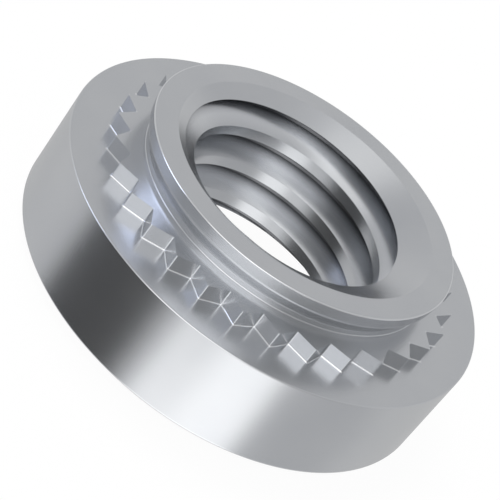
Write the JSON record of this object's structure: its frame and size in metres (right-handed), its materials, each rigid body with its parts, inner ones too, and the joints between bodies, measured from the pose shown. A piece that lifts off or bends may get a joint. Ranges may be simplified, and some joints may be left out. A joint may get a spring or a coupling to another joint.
{
  "type": "self-clinching nut",
  "caption": "Round threaded nut with a toothed ring and an undercut shank, pressed into a hole in thin sheet metal.",
  "frame": {"origin": "centre of the flat resting face of the head, on the axis of the thread", "axes": "+Z along the thread's axis, from the head towards the shank; -Y through a gap between two teeth"},
  "size_m": [0.0088, 0.0086, 0.003],
  "materials": {
    "zinc_plated_steel": "bright zinc-plated steel, smooth and satin to glossy"
  },
  "bodies": {
    "root": {"clinch_nut": "zinc_plated_steel"}
  },
  "joints": []
}
